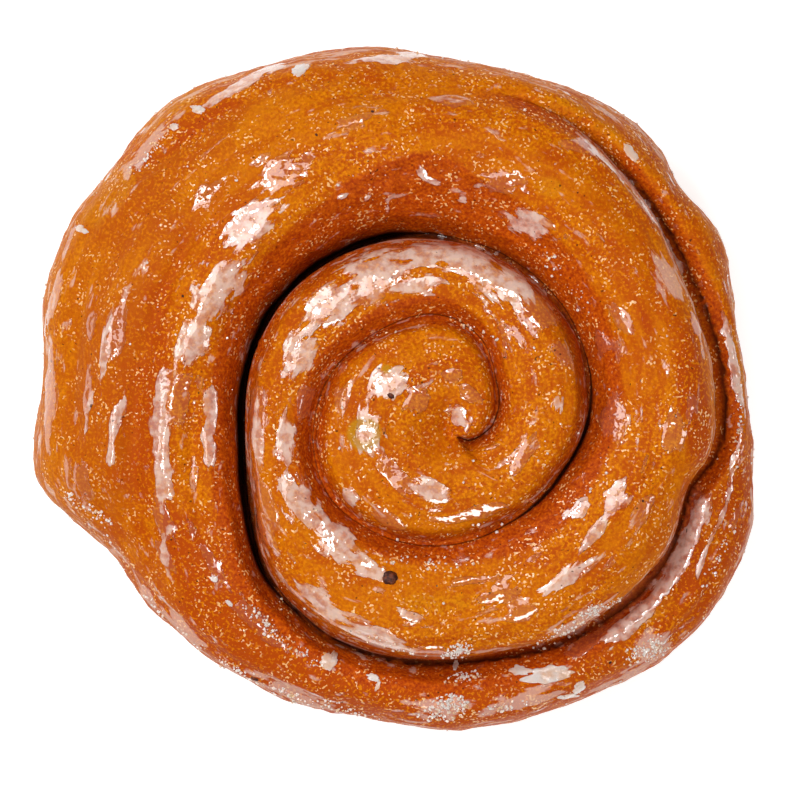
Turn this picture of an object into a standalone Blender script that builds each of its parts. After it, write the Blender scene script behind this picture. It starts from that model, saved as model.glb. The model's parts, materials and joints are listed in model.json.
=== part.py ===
"""A glazed cinnamon roll: one strip of dough, wound about its inner end and baked into one piece.

The roll is one closed solid, with +Z up and its origin at the bottom centre of its box. The strip winds
anticlockwise, seen from above. Angles along it are in degrees, counted on from turn to turn, and start at
SEAM_START, where the inner end of the strip curls in. At each angle the strip lies between two seams: the
one it shares with the turn inside it, a full turn earlier, and the one it shares with the turn outside it.
The tables below are in millimetres, and the mesh is in metres.
"""

import math

import bmesh
import bpy
from mathutils import Matrix, Vector, noise

MM = 0.001
TURN = 360
SEAM_START = -60
SEAM_END = 870
STRIP_END = SEAM_END + TURN

# Where the seam runs: its angle, and its distance from the centre of the spiral.
SEAM_RADIUS = (
    (-60, 0.0), (-48, 3.4), (-24, 5.2), (12, 8.2), (48, 11.5), (72, 16.0), (96, 19.0),
    (132, 20.6), (168, 22.9), (207, 24.1), (234, 22.6), (264, 20.9), (300, 19.7), (330, 20.6),
    (366, 24.2), (408, 28.4), (444, 32.0), (474, 34.9), (510, 36.5), (540, 36.1), (558, 37.5),
    (582, 41.6), (606, 42.5), (636, 41.6), (660, 43.3), (687, 44.9), (703, 43.7), (717, 47.8),
    (750, 49.5), (771, 52.9), (792, 56.8), (816, 59.4), (840, 65.9), (856, 67.3), (870, 75.8),
)
# How deep the seam is: its angle, and the height of its floor.
SEAM_FLOOR = (
    (-60, 38.5), (-30, 36.6), (20, 37.2), (90, 38.6), (180, 37.4), (300, 37.0), (366, 34.0), (430, 32.0),
    (480, 28.0), (560, 27.0), (600, 26.5), (640, 26.0), (690, 25.0), (730, 24.5), (755, 26.0),
    (780, 31.0), (800, 35.2), (820, 35.6), (840, 33.8), (856, 32.6), (864, 28.0), (870, 17.0),
)
# The strip's crest: its angle and height, and how far across the strip it lies, from the inner seam.
CREST_HEIGHT = (
    (-60, 41.5), (0, 42.0), (90, 43.4), (180, 44.0), (300, 43.6), (400, 43.8), (480, 44.2),
    (560, 43.0), (640, 41.2), (720, 41.0), (780, 41.6), (830, 41.4), (880, 39.8), (930, 37.0),
    (965, 33.5), (1000, 31.0), (1050, 29.0), (1080, 28.0), (1110, 29.0), (1140, 32.5),
    (1160, 35.8), (1180, 35.9), (1200, 34.0), (1216, 32.7), (1224, 28.1), (1230, 17.0),
)
CREST_PLACE = (
    (-60, 0.50), (60, 0.50), (120, 0.42), (300, 0.50), (420, 0.50), (560, 0.50), (640, 0.52),
    (720, 0.52), (790, 0.62), (830, 0.50), (870, 0.28), (900, 0.20), (950, 0.26), (1000, 0.36),
    (1080, 0.30), (1140, 0.22), (1165, 0.08), (1230, 0.08),
)
# How far each flank tucks under at its seam: 0 is an open slope and 1 is the side of a full round.
INNER_TUCK = (
    (-60, 0.0), (300, 0.0), (340, 0.7), (420, 0.9), (620, 0.8), (700, 0.45), (770, 0.12),
    (820, 0.10), (860, 0.60), (900, 0.95), (950, 0.70), (1000, 0.30), (1140, 0.20), (1165, 0.0),
    (1230, 0.0),
)
OUTER_TUCK = (
    (-60, 0.9), (560, 0.95), (755, 1.0), (790, 0.35), (810, 0.0), (850, 0.05), (870, 0.7), (900, 0.7),
    (960, 1.0), (1120, 1.0), (1160, 0.45), (1230, 0.45),
)
# How far a deep seam leans in under the turn inside it.
SEAM_LEAN = ((-60, 0.3), (600, 0.5), (680, 2.0), (750, 2.2), (790, 0.2), (870, 0.0))

# The outline seen from above, which goes on where the seam ends: its angle, and its distance from the centre.
OUTLINE = (
    (870, 75.8), (877, 75.3), (885, 73.7), (894, 71.2), (906, 73.4), (916, 66.9), (923, 62.9),
    (931, 61.6), (945, 58.2), (960, 55.3), (975, 53.2), (990, 53.1), (1005, 53.2), (1020, 53.9),
    (1035, 55.6), (1050, 56.6), (1062, 55.5), (1072, 53.4), (1085, 52.2), (1096, 52.7), (1110, 56.1),
    (1117, 58.0), (1126, 57.2), (1132, 60.1), (1145, 61.9), (1170, 64.4), (1185, 67.9), (1200, 71.7),
    (1212, 74.7), (1221, 74.6), (1230, 75.8),
)
WIDEST_HEIGHT = 17.0
LEAST_FOOT_INSET = 7.0
FOOT_INSET_GAIN = 0.24
LEAST_OUTLINE = 53.0

FLANK_POWER = 2.6
SIDE_POWER = 2.2
UNDER_GROOVE = 1.3
UNDER_GROOVE_WIDTH = 0.10
UNDER_GROOVE_FADE = 15

# Long low folds in the skin of the broad outer turn, and the angle over which they drift across it.
FOLD_HEIGHT = 0.75
FOLDS_ACROSS = 2.6
FOLD_DRIFT = 25
FOLD_SPAN = ((820, 0.0), (865, 1.0), (950, 1.0), (985, 0.0))

# The dough is uneven: slow swells, and finer lumps on them, as (wavelength, reach). They fade towards the
# foot, where this share of them is left, and only sideways.
UNEVENNESS = ((24.0, 1.1), (9.0, 0.4))
UNEVENNESS_SEED = 105
FOOT_FADE = 9.0
FOOT_SHARE = 0.3

FLANK_ROWS = 6
SIDE_ROWS = 7
UNDER_SHARES = (UNDER_GROOVE_WIDTH, 0.5, 1 - UNDER_GROOVE_WIDTH)
# The step between columns of the mesh, and the angle that each step holds up to.
COLUMN_STEPS = ((12, 300), (6, 660), (3, STRIP_END))

DOUGH_COLOUR = (0.45, 0.16, 0.025, 1.0)
DOUGH_ROUGHNESS = 0.32


def along(table, angle):
    """The value at an angle, on a smooth curve through a table's (angle, value) pairs that never overshoots."""
    if angle <= table[0][0]:
        return table[0][1]
    if angle >= table[-1][0]:
        return table[-1][1]
    at = next(i for i in range(len(table) - 1) if angle < table[i + 1][0])
    (start, low), (end, high) = table[at], table[at + 1]
    width = end - start
    share = (angle - start) / width
    rise = slope_at(table, at) * width
    fall = slope_at(table, at + 1) * width
    return (
        low * (1 + 2 * share) * (1 - share) ** 2
        + rise * share * (1 - share) ** 2
        + high * share**2 * (3 - 2 * share)
        - fall * share**2 * (1 - share)
    )


def slope_at(table, at):
    """The slope of the curve at one pair: level where the table turns, and otherwise a mean of both sides."""
    if at in (0, len(table) - 1):
        return 0.0
    before = (table[at][1] - table[at - 1][1]) / (table[at][0] - table[at - 1][0])
    after = (table[at + 1][1] - table[at][1]) / (table[at + 1][0] - table[at][0])
    if before * after <= 0:
        return 0.0
    return 2 * before * after / (before + after)


def outline_radius(angle):
    """The outline's distance from the centre of the spiral, in the direction of an angle of any turn."""
    return along(OUTLINE, SEAM_END + (angle - SEAM_END) % TURN)


def foot_radius(angle):
    """The outline of the flat foot, which is drawn in more where the roll bulges."""
    radius = outline_radius(angle)
    return radius - LEAST_FOOT_INSET - FOOT_INSET_GAIN * max(0.0, radius - LEAST_OUTLINE)


def point(angle, radius, height):
    """A point of the roll in metres, about the centre of the spiral."""
    turned = math.radians(angle)
    return Vector((radius * math.cos(turned), radius * math.sin(turned), height)) * MM


def flank(share, tuck):
    """How far out and how high a flank is, both from 0 to 1, as share goes from crest, 0, to seam, 1."""
    bend = share * math.pi / 2
    out = math.sin(bend) ** (2 / FLANK_POWER)
    tucked = max(0.0, math.cos(bend)) ** (2 / FLANK_POWER)
    return out, tuck * tucked + (1 - tuck) * (1 - out**2)


def seam_radius(angle):
    """The distance of the seam, or of the outline past the seam's end, from the centre of the spiral."""
    return along(SEAM_RADIUS, angle) if angle < SEAM_END else outline_radius(angle)


def seam_floor(angle):
    """The height of the seam's floor, or of the widest part of the side past the seam's end."""
    return along(SEAM_FLOOR, angle)


def seam_lean(angle):
    """How far in the seam's floor lies from its mouth."""
    return along(SEAM_LEAN, angle)


def top_seam_point(angle):
    """A point on the floor of the seam, or on the widest line of the side."""
    return point(angle, seam_radius(angle) - seam_lean(angle), seam_floor(angle))


def top_point(angle, share):
    """A point on top of the strip, as share goes from its inner seam, 0, over the crest to its outer one, 1."""
    inner_angle = max(SEAM_START, angle - TURN)
    inner, outer = seam_radius(inner_angle), seam_radius(angle)
    crest_radius = inner + along(CREST_PLACE, angle) * (outer - inner)
    crest = along(CREST_HEIGHT, angle)
    on_outer_flank = share > 0.5
    seam = angle if on_outer_flank else inner_angle
    tuck = along(OUTER_TUCK if on_outer_flank else INNER_TUCK, angle)
    out, up = flank(abs(2 * share - 1), tuck)
    edge = outer if on_outer_flank else inner
    floor = seam_floor(seam)
    radius = crest_radius + (edge - crest_radius) * out - seam_lean(seam) * (1 - up) ** 2
    fold = math.sin(math.tau * FOLDS_ACROSS * share + noise.noise(Vector((angle / FOLD_DRIFT, share, 0))))
    on_slope = 4 * up * (1 - up)
    height = floor + (crest - floor) * up + FOLD_HEIGHT * fold * along(FOLD_SPAN, angle) * on_slope
    return point(angle, radius, height)


def side_point(angle, share):
    """A point on the side below its widest line, as share goes from there, 0, to the foot, 1."""
    bend = share * math.pi / 2
    inward = 1 - math.cos(bend) ** (2 / SIDE_POWER)
    radius = outline_radius(angle) + (foot_radius(angle) - outline_radius(angle)) * inward
    return point(angle, radius, WIDEST_HEIGHT * (1 - math.sin(bend) ** (2 / SIDE_POWER)))


def under_seam_point(angle):
    """A point on the seam under the roll, which follows the one on top and fades out before the foot's rim."""
    scale = foot_radius(angle) / outline_radius(angle)
    depth = UNDER_GROOVE * min(1.0, (SEAM_END - angle) / UNDER_GROOVE_FADE)
    return point(angle, seam_radius(angle) * scale, depth)


def under_point(angle, share):
    """A point on the flat of the strip under the roll."""
    scale = foot_radius(angle) / outline_radius(angle)
    inner = seam_radius(max(SEAM_START, angle - TURN))
    return point(angle, (inner + (seam_radius(angle) - inner) * share) * scale, 0.0)


def column_angles():
    """The angles at which the mesh has a column of points across the strip."""
    angles = [SEAM_START]
    for step, until in COLUMN_STEPS:
        angles += range(angles[-1] + step, until + 1, step)
    return angles


def wind(bm, columns, shares, seam_point, inside_point, rim, facing_up):
    """Winds one skin of the strip, joined along its seam, from the centre out to the points of rim."""
    seams = {SEAM_START: bm.verts.new(seam_point(SEAM_START))}
    for angle in sorted({angle - TURN for angle in columns if angle > SEAM_START + TURN}):
        if SEAM_START < angle < SEAM_END:
            seams[angle] = bm.verts.new(seam_point(angle))
    edges = {**seams, **{angle: rim[angle % TURN] for angle in columns if angle >= SEAM_END}}
    edges[SEAM_END] = rim[SEAM_END % TURN]

    def column(angle):
        inner = edges[max(SEAM_START, angle - TURN)]
        outer = edges[angle]
        if inner is outer:
            return [outer] * (len(shares) + 2)
        return [inner, *(bm.verts.new(inside_point(angle, share)) for share in shares), outer]

    stops = sorted(edges)
    last, before = columns[0], [edges[SEAM_START]] * (len(shares) + 2)
    for angle in columns[1:]:
        now = column(angle)
        for row in range(len(now) - 1):
            corners = [before[row], before[row + 1]]
            if row == len(now) - 2:
                corners += [edges[stop] for stop in stops if last < stop < angle]
            corners += [now[row + 1], now[row]]
            if row == 0 and angle - TURN > SEAM_START:
                corners += [edges[s] for s in reversed(stops) if last - TURN < s < angle - TURN]
            corners = list(dict.fromkeys(corners))
            if len(corners) > 2:
                bm.faces.new(corners if facing_up else corners[::-1])
        last, before = angle, now


def ring(bm, angles, place, share):
    """A ring of points round the side."""
    return {angle % TURN: bm.verts.new(place(angle, share)) for angle in angles}


def bridge(bm, upper, lower):
    """Joins two rings of the side, facing out."""
    around = list(upper)
    for at, next_at in zip(around, around[1:] + around[:1]):
        bm.faces.new((upper[at], lower[at], lower[next_at], upper[next_at]))


def uneven(place):
    """Where a point goes once the dough's unevenness is added. The foot stays flat."""
    moved = place.copy()
    lift = min(1.0, place.z / (FOOT_FADE * MM))
    for wavelength, reach in UNEVENNESS:
        swell = noise.noise_vector(place / (wavelength * MM)) * reach * MM
        swell.z *= lift
        moved += swell * max(lift, FOOT_SHARE)
    return moved


def make_roll():
    """The whole roll as one closed mesh, standing on its foot about the middle of its box."""
    noise.seed_set(UNEVENNESS_SEED)
    bm = bmesh.new()
    columns = column_angles()
    rim_angles = [angle for angle in columns if SEAM_END <= angle < STRIP_END]
    rows = [step / SIDE_ROWS for step in range(SIDE_ROWS + 1)]
    rings = [ring(bm, rim_angles, side_point, share) for share in rows]
    for upper, lower in zip(rings, rings[1:]):
        bridge(bm, upper, lower)
    top_shares = [step / (2 * FLANK_ROWS) for step in range(1, 2 * FLANK_ROWS)]
    wind(bm, columns, top_shares, top_seam_point, top_point, rings[0], facing_up=True)
    wind(bm, columns, UNDER_SHARES, under_seam_point, under_point, rings[-1], facing_up=False)
    for vertex in bm.verts:
        vertex.co = uneven(vertex.co)
    corners = [[vertex.co[axis] for vertex in bm.verts] for axis in range(3)]
    middle = Vector((min(corners[0]) + max(corners[0]), min(corners[1]) + max(corners[1]), 0)) / 2
    bmesh.ops.transform(bm, matrix=Matrix.Translation(-middle), verts=bm.verts)
    mesh = bpy.data.meshes.new("dough_roll")
    bm.to_mesh(mesh)
    bm.free()
    mesh.shade_smooth()
    return mesh


def dough_material():
    """Golden brown, glazed crust."""
    material = bpy.data.materials.new("golden_crust")
    material.use_nodes = True
    shader = material.node_tree.nodes["Principled BSDF"]
    shader.inputs["Base Color"].default_value = DOUGH_COLOUR
    shader.inputs["Roughness"].default_value = DOUGH_ROUGHNESS
    shader.inputs["Metallic"].default_value = 0.0
    return material


def main():
    """Clears the scene and makes the roll."""
    for old in list(bpy.data.objects):
        bpy.data.objects.remove(old)
    mesh = make_roll()
    mesh.materials.append(dough_material())
    roll = bpy.data.objects.new("dough_roll", mesh)
    bpy.context.scene.collection.objects.link(roll)


main()
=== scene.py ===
"""The looks of a glazed cinnamon roll: its crust and glaze, glaze flakes, sugar crystals and spice specks.

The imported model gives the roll's solid. A refined copy of it gets the fine relief of baked dough and takes
its place, and the flakes, crystals and specks lie on that copy. Lengths in the classes' fields are in
millimetres unless they say metres, and meshes are in metres. A place seen from above is given in pixels of
the 800-pixel picture, which Picture turns into metres. An angle along the wound strip counts on from turn
to turn, in degrees, as in the solid.
"""

import logging
import math
import random
from dataclasses import dataclass, field
from enum import Enum
from typing import TypeVar

import bpy
import numpy as np
from mathutils import Euler, Matrix, Vector, noise
from mathutils.bvhtree import BVHTree
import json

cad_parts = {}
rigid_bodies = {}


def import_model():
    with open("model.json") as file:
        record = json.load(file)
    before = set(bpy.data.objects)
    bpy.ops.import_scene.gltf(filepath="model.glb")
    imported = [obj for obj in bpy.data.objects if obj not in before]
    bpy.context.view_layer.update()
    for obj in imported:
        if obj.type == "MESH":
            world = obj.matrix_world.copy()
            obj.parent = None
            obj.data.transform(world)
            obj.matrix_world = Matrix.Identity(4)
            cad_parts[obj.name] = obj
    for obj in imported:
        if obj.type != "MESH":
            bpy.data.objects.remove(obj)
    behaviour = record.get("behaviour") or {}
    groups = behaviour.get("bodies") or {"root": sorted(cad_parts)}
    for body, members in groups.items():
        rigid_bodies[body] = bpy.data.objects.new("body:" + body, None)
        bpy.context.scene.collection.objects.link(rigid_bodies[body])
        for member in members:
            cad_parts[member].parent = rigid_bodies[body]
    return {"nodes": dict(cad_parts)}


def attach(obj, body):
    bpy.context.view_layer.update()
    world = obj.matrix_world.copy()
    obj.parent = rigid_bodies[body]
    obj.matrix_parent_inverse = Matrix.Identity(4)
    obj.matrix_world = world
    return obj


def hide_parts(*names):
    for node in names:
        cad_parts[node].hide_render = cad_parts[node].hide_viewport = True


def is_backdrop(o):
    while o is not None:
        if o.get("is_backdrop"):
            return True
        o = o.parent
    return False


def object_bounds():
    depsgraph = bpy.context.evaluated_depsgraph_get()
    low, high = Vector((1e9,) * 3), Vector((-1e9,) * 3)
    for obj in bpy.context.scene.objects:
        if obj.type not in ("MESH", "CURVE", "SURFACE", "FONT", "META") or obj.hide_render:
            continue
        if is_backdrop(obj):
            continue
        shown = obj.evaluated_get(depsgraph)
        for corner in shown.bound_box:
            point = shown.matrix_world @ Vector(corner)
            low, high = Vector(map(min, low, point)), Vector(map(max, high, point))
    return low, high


MM = 0.001
TURN = 360
NODE = "dough_roll"
BODY = "root"

log = logging.getLogger("cinnamon_roll")

Colour = tuple[float, float, float]
Pixel = tuple[float, float]
Table = tuple[tuple[float, float], ...]
Plan = TypeVar("Plan")


def each(kind: type[Plan], *rows: tuple) -> tuple[Plan, ...]:
    """Makes one plan of a kind from each row of its fields."""
    return tuple(kind(*row) for row in rows)


@dataclass(frozen=True)
class Picture:
    """How the picture's pixels lie over the roll, which it shows from straight above."""

    side: int = 800
    pixels_per_mm: float = 5.736
    spiral_at: Pixel = (450.0, 425.0)
    spiral_mm: tuple[float, float] = (9.9, -6.5)

    def plan(self, at: Pixel) -> tuple[float, float]:
        """The place under a pixel.

        Args:
            at: The pixel, across and down.

        Returns:
            X and Y in the row frame, in metres.
        """
        across = (at[0] - self.spiral_at[0]) / self.pixels_per_mm + self.spiral_mm[0]
        up = (self.spiral_at[1] - at[1]) / self.pixels_per_mm + self.spiral_mm[1]
        return across * MM, up * MM

    def span(self) -> float:
        """The width that the picture shows, in metres."""
        return self.side / self.pixels_per_mm * MM


PICTURE = Picture()

# The seam between the turns of the strip: its angle, and its distance from the centre of the spiral.
SEAM_RADIUS: Table = (
    (-60, 0.0), (-48, 3.4), (-24, 5.2), (12, 8.2), (48, 11.5), (72, 16.0), (96, 19.0),
    (132, 20.6), (168, 22.9), (207, 24.1), (234, 22.6), (264, 20.9), (300, 19.7), (330, 20.6),
    (366, 24.2), (408, 28.4), (444, 32.0), (474, 34.9), (510, 36.5), (540, 36.1), (558, 37.5),
    (582, 41.6), (606, 42.5), (636, 41.6), (660, 43.3), (687, 44.9), (703, 43.7), (717, 47.8),
    (750, 49.5), (771, 52.9), (792, 56.8), (816, 59.4), (840, 65.9), (856, 67.3), (870, 75.8),
)
# The smooth flank on the inner side of the strip, painted darker red-brown, partly as browning and partly as
# painted shade down into the seam: its angle, and how wide it is from the seam.
FLANK_WIDTH: Table = (
    (300, 0.0), (380, 1.5), (420, 2.0), (470, 3.5), (560, 3.5), (600, 3.0), (630, 3.0), (675, 6.0),
    (720, 5.2), (750, 5.6), (780, 7.5), (800, 10.6), (815, 13.6), (830, 11.2), (850, 7.2), (880, 5.6),
    (930, 5.0), (990, 4.5), (1050, 3.0), (1110, 2.0), (1230, 1.0),
)
# The gap in the open seam: its angle, and half the gap's width.
SEAM_GAP: Table = (
    (-60, 0.0), (200, -0.10), (290, -0.05), (325, 0.12), (350, 0.14), (395, -0.05), (450, 0.0), (472, 0.30),
    (510, 0.50), (556, 0.44), (578, 0.15), (600, -0.12), (690, -0.16), (712, -0.35), (745, -0.35),
    (760, -0.10), (798, -0.16), (812, -0.4),
)


class Glazing(Enum):
    """What a pool of glaze on the crust looks like."""

    CLEAR = "clear"
    MILKY = "milky"
    FROSTED = "frosted"


@dataclass(frozen=True)
class Pool:
    """A patch seen from above: its middle, half its length and width, and any heading of its own."""

    at: Pixel
    long: float
    wide: float
    turned: float = 0.0


POOLS = {
    Glazing.CLEAR: each(
        Pool,
        ((285, 180), 5.0, 2.6), ((181, 392), 6.5, 2.8), ((168, 520), 4.5, 1.5), ((171, 553), 3.0, 1.3),
        ((208, 198), 3.8, 1.8), ((120, 335), 5.2, 1.8), ((95, 326), 2.6, 1.3), ((94, 388), 3.6, 1.2),
        ((60, 300), 6.0, 1.0), ((54, 400), 9.0, 1.1), ((88, 484), 3.4, 1.8), ((505, 186), 4.0, 1.9),
        ((578, 150), 2.8, 1.4), ((352, 128), 3.0, 1.2), ((452, 105), 3.5, 1.0), ((668, 432), 3.6, 2.2),
        ((612, 420), 4.0, 2.6), ((618, 318), 3.0, 1.6), ((600, 345), 2.5, 1.2), ((692, 326), 2.6, 1.0),
        ((522, 606), 3.2, 1.8), ((500, 590), 3.4, 1.4), ((640, 505), 3.0, 1.3), ((440, 652), 5.0, 1.2),
        ((470, 578), 5.0, 0.9), ((268, 528), 4.5, 1.5), ((262, 432), 7.4, 1.7), ((270, 500), 5.0, 1.4),
        ((308, 402), 3.2, 1.5), ((533, 312), 4.4, 3.0), ((512, 334), 3.0, 1.6), ((556, 352), 3.4, 1.2),
        ((520, 455), 4.5, 1.5), ((470, 512), 6.0, 1.2), ((416, 402), 2.6, 2.0), ((452, 376), 2.2, 1.3),
        ((468, 394), 2.4, 1.5), ((396, 476), 4.2, 1.9), ((388, 516), 3.0, 1.4), ((346, 398), 3.0, 1.0),
        ((590, 640), 6.0, 1.4), ((632, 598), 6.4, 1.5), ((664, 556), 5.0, 1.4), ((690, 508), 4.6, 1.2),
        ((262, 622), 6.0, 1.6), ((215, 560), 5.0, 1.0),
    ),
    # Milky pools: painted pale, partly glaze that dried milky, partly painted reflection of the lights.
    Glazing.MILKY: each(
        Pool,
        ((255, 226), 6.2, 3.2), ((222, 290), 7.5, 3.6), ((196, 342), 6.5, 2.4), ((163, 442), 9.0, 1.6),
        ((422, 174), 1.5, 0.9, -60), ((433, 184), 2.0, 0.7, -15), ((344, 200), 0.9, 0.6),
        ((369, 198), 1.3, 0.5, 60), ((388, 212), 1.8, 0.3, 88), ((463, 201), 1.0, 0.8),
        ((477, 190), 0.9, 0.5), ((531, 226), 4.6, 2.4), ((398, 60), 6.0, 1.0), ((250, 84), 9.0, 1.0),
        ((733, 372), 9.0, 0.9), ((612, 498), 3.6, 2.0), ((576, 509), 2.4, 1.6), ((594, 528), 4.0, 1.2),
        ((562, 578), 6.0, 1.7), ((412, 612), 3.2, 0.9, -24), ((340, 540), 4.6, 3.0), ((366, 562), 3.6, 2.0),
        ((302, 500), 5.4, 3.0), ((322, 598), 6.2, 2.2), ((372, 630), 6.4, 1.8), ((290, 440), 4.4, 1.8),
        ((302, 352), 4.8, 2.4), ((334, 306), 5.6, 3.8), ((378, 274), 6.8, 4.0), ((425, 258), 6.4, 2.6),
        ((464, 262), 6.0, 2.6), ((418, 286), 5.5, 1.8), ((262, 432), 5.0, 1.2), ((112, 352), 5.0, 1.0),
        ((502, 286), 5.6, 3.6), ((554, 402), 2.8, 1.3), ((390, 384), 3.6, 3.0, 60), ((368, 432), 4.6, 3.0),
        ((458, 416), 2.6, 1.5), ((430, 488), 3.8, 1.9), ((352, 496), 1.8, 1.0),
    ),
    Glazing.FROSTED: each(
        Pool,
        ((664, 280), 4.4, 2.4), ((575, 622), 7.0, 2.0), ((650, 648), 4.6, 2.6), ((440, 704), 5.6, 2.0),
        ((300, 700), 9.0, 2.2), ((190, 640), 9.0, 2.0), ((150, 604), 4.0, 1.6), ((520, 700), 8.0, 1.8),
        ((630, 680), 8.0, 1.5), ((150, 150), 8.0, 1.2),
    ),
}


@dataclass(frozen=True)
class Fold:
    """A long low fold in the skin, seen from above: its line, how far it stands out, and its half width."""

    line: tuple[Pixel, ...]
    height: float
    half_width: float


FOLDS = each(
    Fold,
    (((250, 192), (272, 165), (295, 142), (318, 132), (380, 116), (418, 108), (446, 97)), 0.75, 1.9),
    (((150, 172), (178, 150), (215, 128), (240, 118), (262, 100), (290, 86), (330, 80),
     (400, 84)), -0.20, 1.2),
    (((180, 190), (212, 156), (250, 128), (300, 104), (360, 94)), 0.40, 2.4),
    (((218, 178), (188, 248), (152, 330), (141, 400), (136, 480), (152, 560)), -1.20, 2.4),
    (((170, 205), (136, 262), (116, 330), (112, 400), (118, 462), (138, 525), (165, 585)), 0.85, 2.2),
    (((236, 240), (206, 300), (186, 360), (172, 420), (164, 500)), 0.70, 2.6),
    (((92, 262), (78, 330), (74, 400), (82, 462)), -0.85, 1.6),
    (((76, 240), (58, 300), (51, 380), (50, 450)), 0.40, 1.3),
    (((200, 400), (196, 470), (206, 540), (232, 590)), -0.65, 1.3),
    (((62, 492), (112, 548), (160, 603), (222, 652), (290, 690), (350, 712)), -0.60, 0.8),
    (((120, 580), (176, 636), (246, 684), (320, 712)), 0.45, 0.8),
    (((200, 560), (240, 606), (286, 640), (345, 664)), 0.40, 1.2),
    (((560, 702), (612, 682), (662, 652), (702, 602), (727, 540)), -0.45, 0.8),
    (((330, 206), (365, 180), (400, 164), (425, 156), (452, 168), (492, 186), (532, 212)), 0.45, 1.0),
    (((470, 120), (530, 136), (580, 166), (622, 212), (650, 262), (664, 320)), -0.35, 2.0),
    (((500, 160), (552, 190), (592, 236), (616, 290)), 0.35, 1.5),
    (((640, 300), (655, 350), (655, 400), (640, 450)), -0.30, 1.6),
    (((396, 166), (392, 190), (388, 214)), 0.25, 0.5),
    (((330, 560), (400, 600), (480, 610), (560, 580)), -0.25, 1.6),
    (((704, 476), (694, 514), (682, 538), (665, 571), (647, 596), (627, 616), (605, 634),
     (586, 646)), 0.80, 1.4),
)
# Where the skin is crinkled crosswise, as dough that was drawn in.
CRINKLES = each(
    Fold,
    (((706, 478), (696, 516), (684, 540), (667, 573), (649, 598), (629, 618), (607, 636),
     (588, 648)), 0.40, 1.5),
    (((640, 180), (658, 208), (682, 246), (697, 276)), 0.40, 1.5),
    (((262, 596), (290, 622), (322, 648)), 0.30, 1.5),
    (((428, 372), (452, 366), (476, 376)), 0.20, 1.6),
)
# Long runs of glaze, painted pale: partly glaze that dried milky, partly painted highlight along ridges that
# catch the light.
RUNS = each(
    Fold,
    (((709, 480), (699, 518), (687, 542), (670, 576), (652, 601), (632, 621), (610, 639),
     (590, 651)), 1.0, 1.5),
    (((566, 128), (590, 152), (612, 172), (632, 192), (650, 216), (664, 242), (678, 268),
     (694, 300)), 0.9, 0.6),
    (((732, 440), (728, 490), (724, 508), (713, 530), (700, 560), (691, 597)), 0.8, 0.45),
    (((168, 360), (166, 420), (168, 470), (174, 514)), 1.0, 1.3),
    (((216, 380), (212, 430), (214, 474)), 1.0, 1.2),
    (((128, 392), (120, 424), (117, 470)), 0.9, 0.8),
    (((104, 380), (92, 410), (90, 440)), 0.8, 0.6),
    (((176, 520), (168, 540), (172, 566)), 0.9, 0.9),
)
# Where the crust stayed pale and yellow, where it is lighter, and where it is darker and redder.
STRAW = each(
    Pool,
    ((600, 140), 5.0, 3.0), ((560, 112), 5.0, 2.0), ((735, 365), 7.0, 2.2), ((728, 440), 5.0, 2.0),
    ((92, 212), 4.0, 2.5), ((110, 200), 8.0, 4.0), ((170, 110), 8.0, 3.0), ((546, 190), 2.5, 2.0),
    ((575, 460), 4.0, 3.0), ((650, 610), 5.0, 2.0), ((440, 600), 7.0, 2.0),
)
GOLDEN = each(
    Pool,
    ((430, 606), 16.0, 4.5), ((500, 600), 12.0, 4.0), ((425, 575), 10.0, 2.5), ((480, 88), 12.0, 3.0),
    ((430, 345), 5.0, 3.0),
)
RUDDY = each(
    Pool,
    ((125, 400), 22.0, 9.0), ((400, 694), 22.0, 6.0), ((250, 645), 14.0, 5.0), ((140, 210), 9.0, 7.0),
    ((205, 140), 9.0, 4.0), ((690, 400), 12.0, 2.5), ((210, 580), 14.0, 4.0),
)


def smooth_step(low: float, high: float, value: np.ndarray) -> np.ndarray:
    """0 below low, 1 above high and a smooth rise between.

    Args:
        low: Where the rise starts.
        high: Where it ends.
        value: The numbers to turn into shares.

    Returns:
        The shares, from 0 to 1.
    """
    share = np.clip((value - low) / (high - low), 0.0, 1.0)
    return share * share * (3 - 2 * share)


def follow(table: Table, angle: np.ndarray) -> np.ndarray:
    """The value at each angle, on the smooth curve through a table's pairs that the solid follows too.

    Args:
        table: Angles and values.
        angle: Where to read the curve.

    Returns:
        One value for each angle.
    """
    at, value = np.array(table, dtype=float).T
    rise = np.diff(value) / np.diff(at)
    turned = rise[:-1] * rise[1:] <= 0
    slope = np.zeros_like(value)
    total = np.where(turned, 1.0, rise[:-1] + rise[1:])
    slope[1:-1] = np.where(turned, 0.0, 2 * rise[:-1] * rise[1:] / total)
    here = np.clip(angle, at[0], at[-1])
    index = np.clip(np.searchsorted(at, here, side="right") - 1, 0, len(at) - 2)
    width = at[index + 1] - at[index]
    share = (here - at[index]) / width
    return (
        value[index] * (1 + 2 * share) * (1 - share) ** 2
        + slope[index] * width * share * (1 - share) ** 2
        + value[index + 1] * share**2 * (3 - 2 * share)
        - slope[index + 1] * width * share**2 * (1 - share)
    )


@dataclass(frozen=True)
class Swell:
    """Smooth noise: how far apart its swells are along each coordinate, its seed, and how high they are."""

    apart: tuple[float, float, float]
    seed: float
    height: float = 1.0

    def over(self, places: np.ndarray) -> np.ndarray:
        """The noise at each place.

        Args:
            places: One row of three coordinates for each place, in millimetres.

        Returns:
            One number for each place, from about -height to height.
        """
        scaled = places / np.array(self.apart) + self.seed
        return self.height * np.array([noise.noise(row) for row in scaled.tolist()])

    def even(self) -> "Swell":
        """The same noise, with its swells as far apart one way as the other."""
        return Swell((self.apart[1] * 1.3,) * 3, self.seed, self.height)


@dataclass(frozen=True)
class Stretch:
    """A stretch of the wound strip: the angles over which it fades in, and those over which it fades out."""

    fade_in: tuple[float, float]
    fade_out: tuple[float, float]

    def share(self, angle: np.ndarray) -> np.ndarray:
        """1 within the stretch and 0 outside it, for each angle."""
        return smooth_step(*self.fade_in, angle) * (1 - smooth_step(*self.fade_out, angle))


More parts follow.
